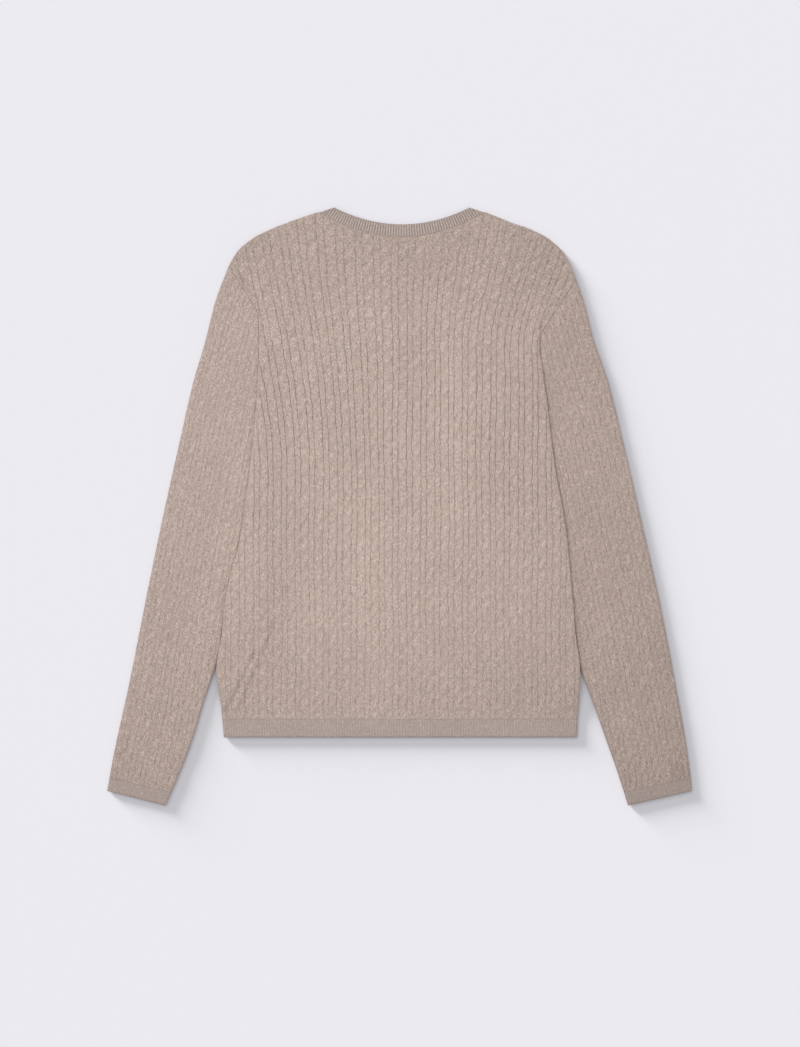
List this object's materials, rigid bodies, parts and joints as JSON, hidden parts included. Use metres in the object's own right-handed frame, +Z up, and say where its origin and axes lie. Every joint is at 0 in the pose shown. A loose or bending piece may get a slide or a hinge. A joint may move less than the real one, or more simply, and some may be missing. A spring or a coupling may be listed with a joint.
{
  "type": "cable knit sweater",
  "caption": "Long-sleeved crew-neck sweater in a fine cable knit with ribbed neckband, hem and cuffs, laid out flat with its back up and its sleeves tucked under its sides.",
  "frame": {"origin": "middle of the footprint, on the surface that the sweater lies on", "axes": "+Z up from the surface, +Y towards the neck, +X towards the wearer's right sleeve"},
  "size_m": [0.742, 0.759, 0.0118],
  "materials": {
    "cable_knit": "matt melange cable knit",
    "rib_knit": "matt melange fine rib"
  },
  "bodies": {
    "root": {"front": "cable_knit", "back": "cable_knit", "sleeve_left": "cable_knit", "sleeve_right": "cable_knit", "neckband": "rib_knit", "hem_rib": "rib_knit", "cuff_left": "rib_knit", "cuff_right": "rib_knit"}
  },
  "joints": []
}
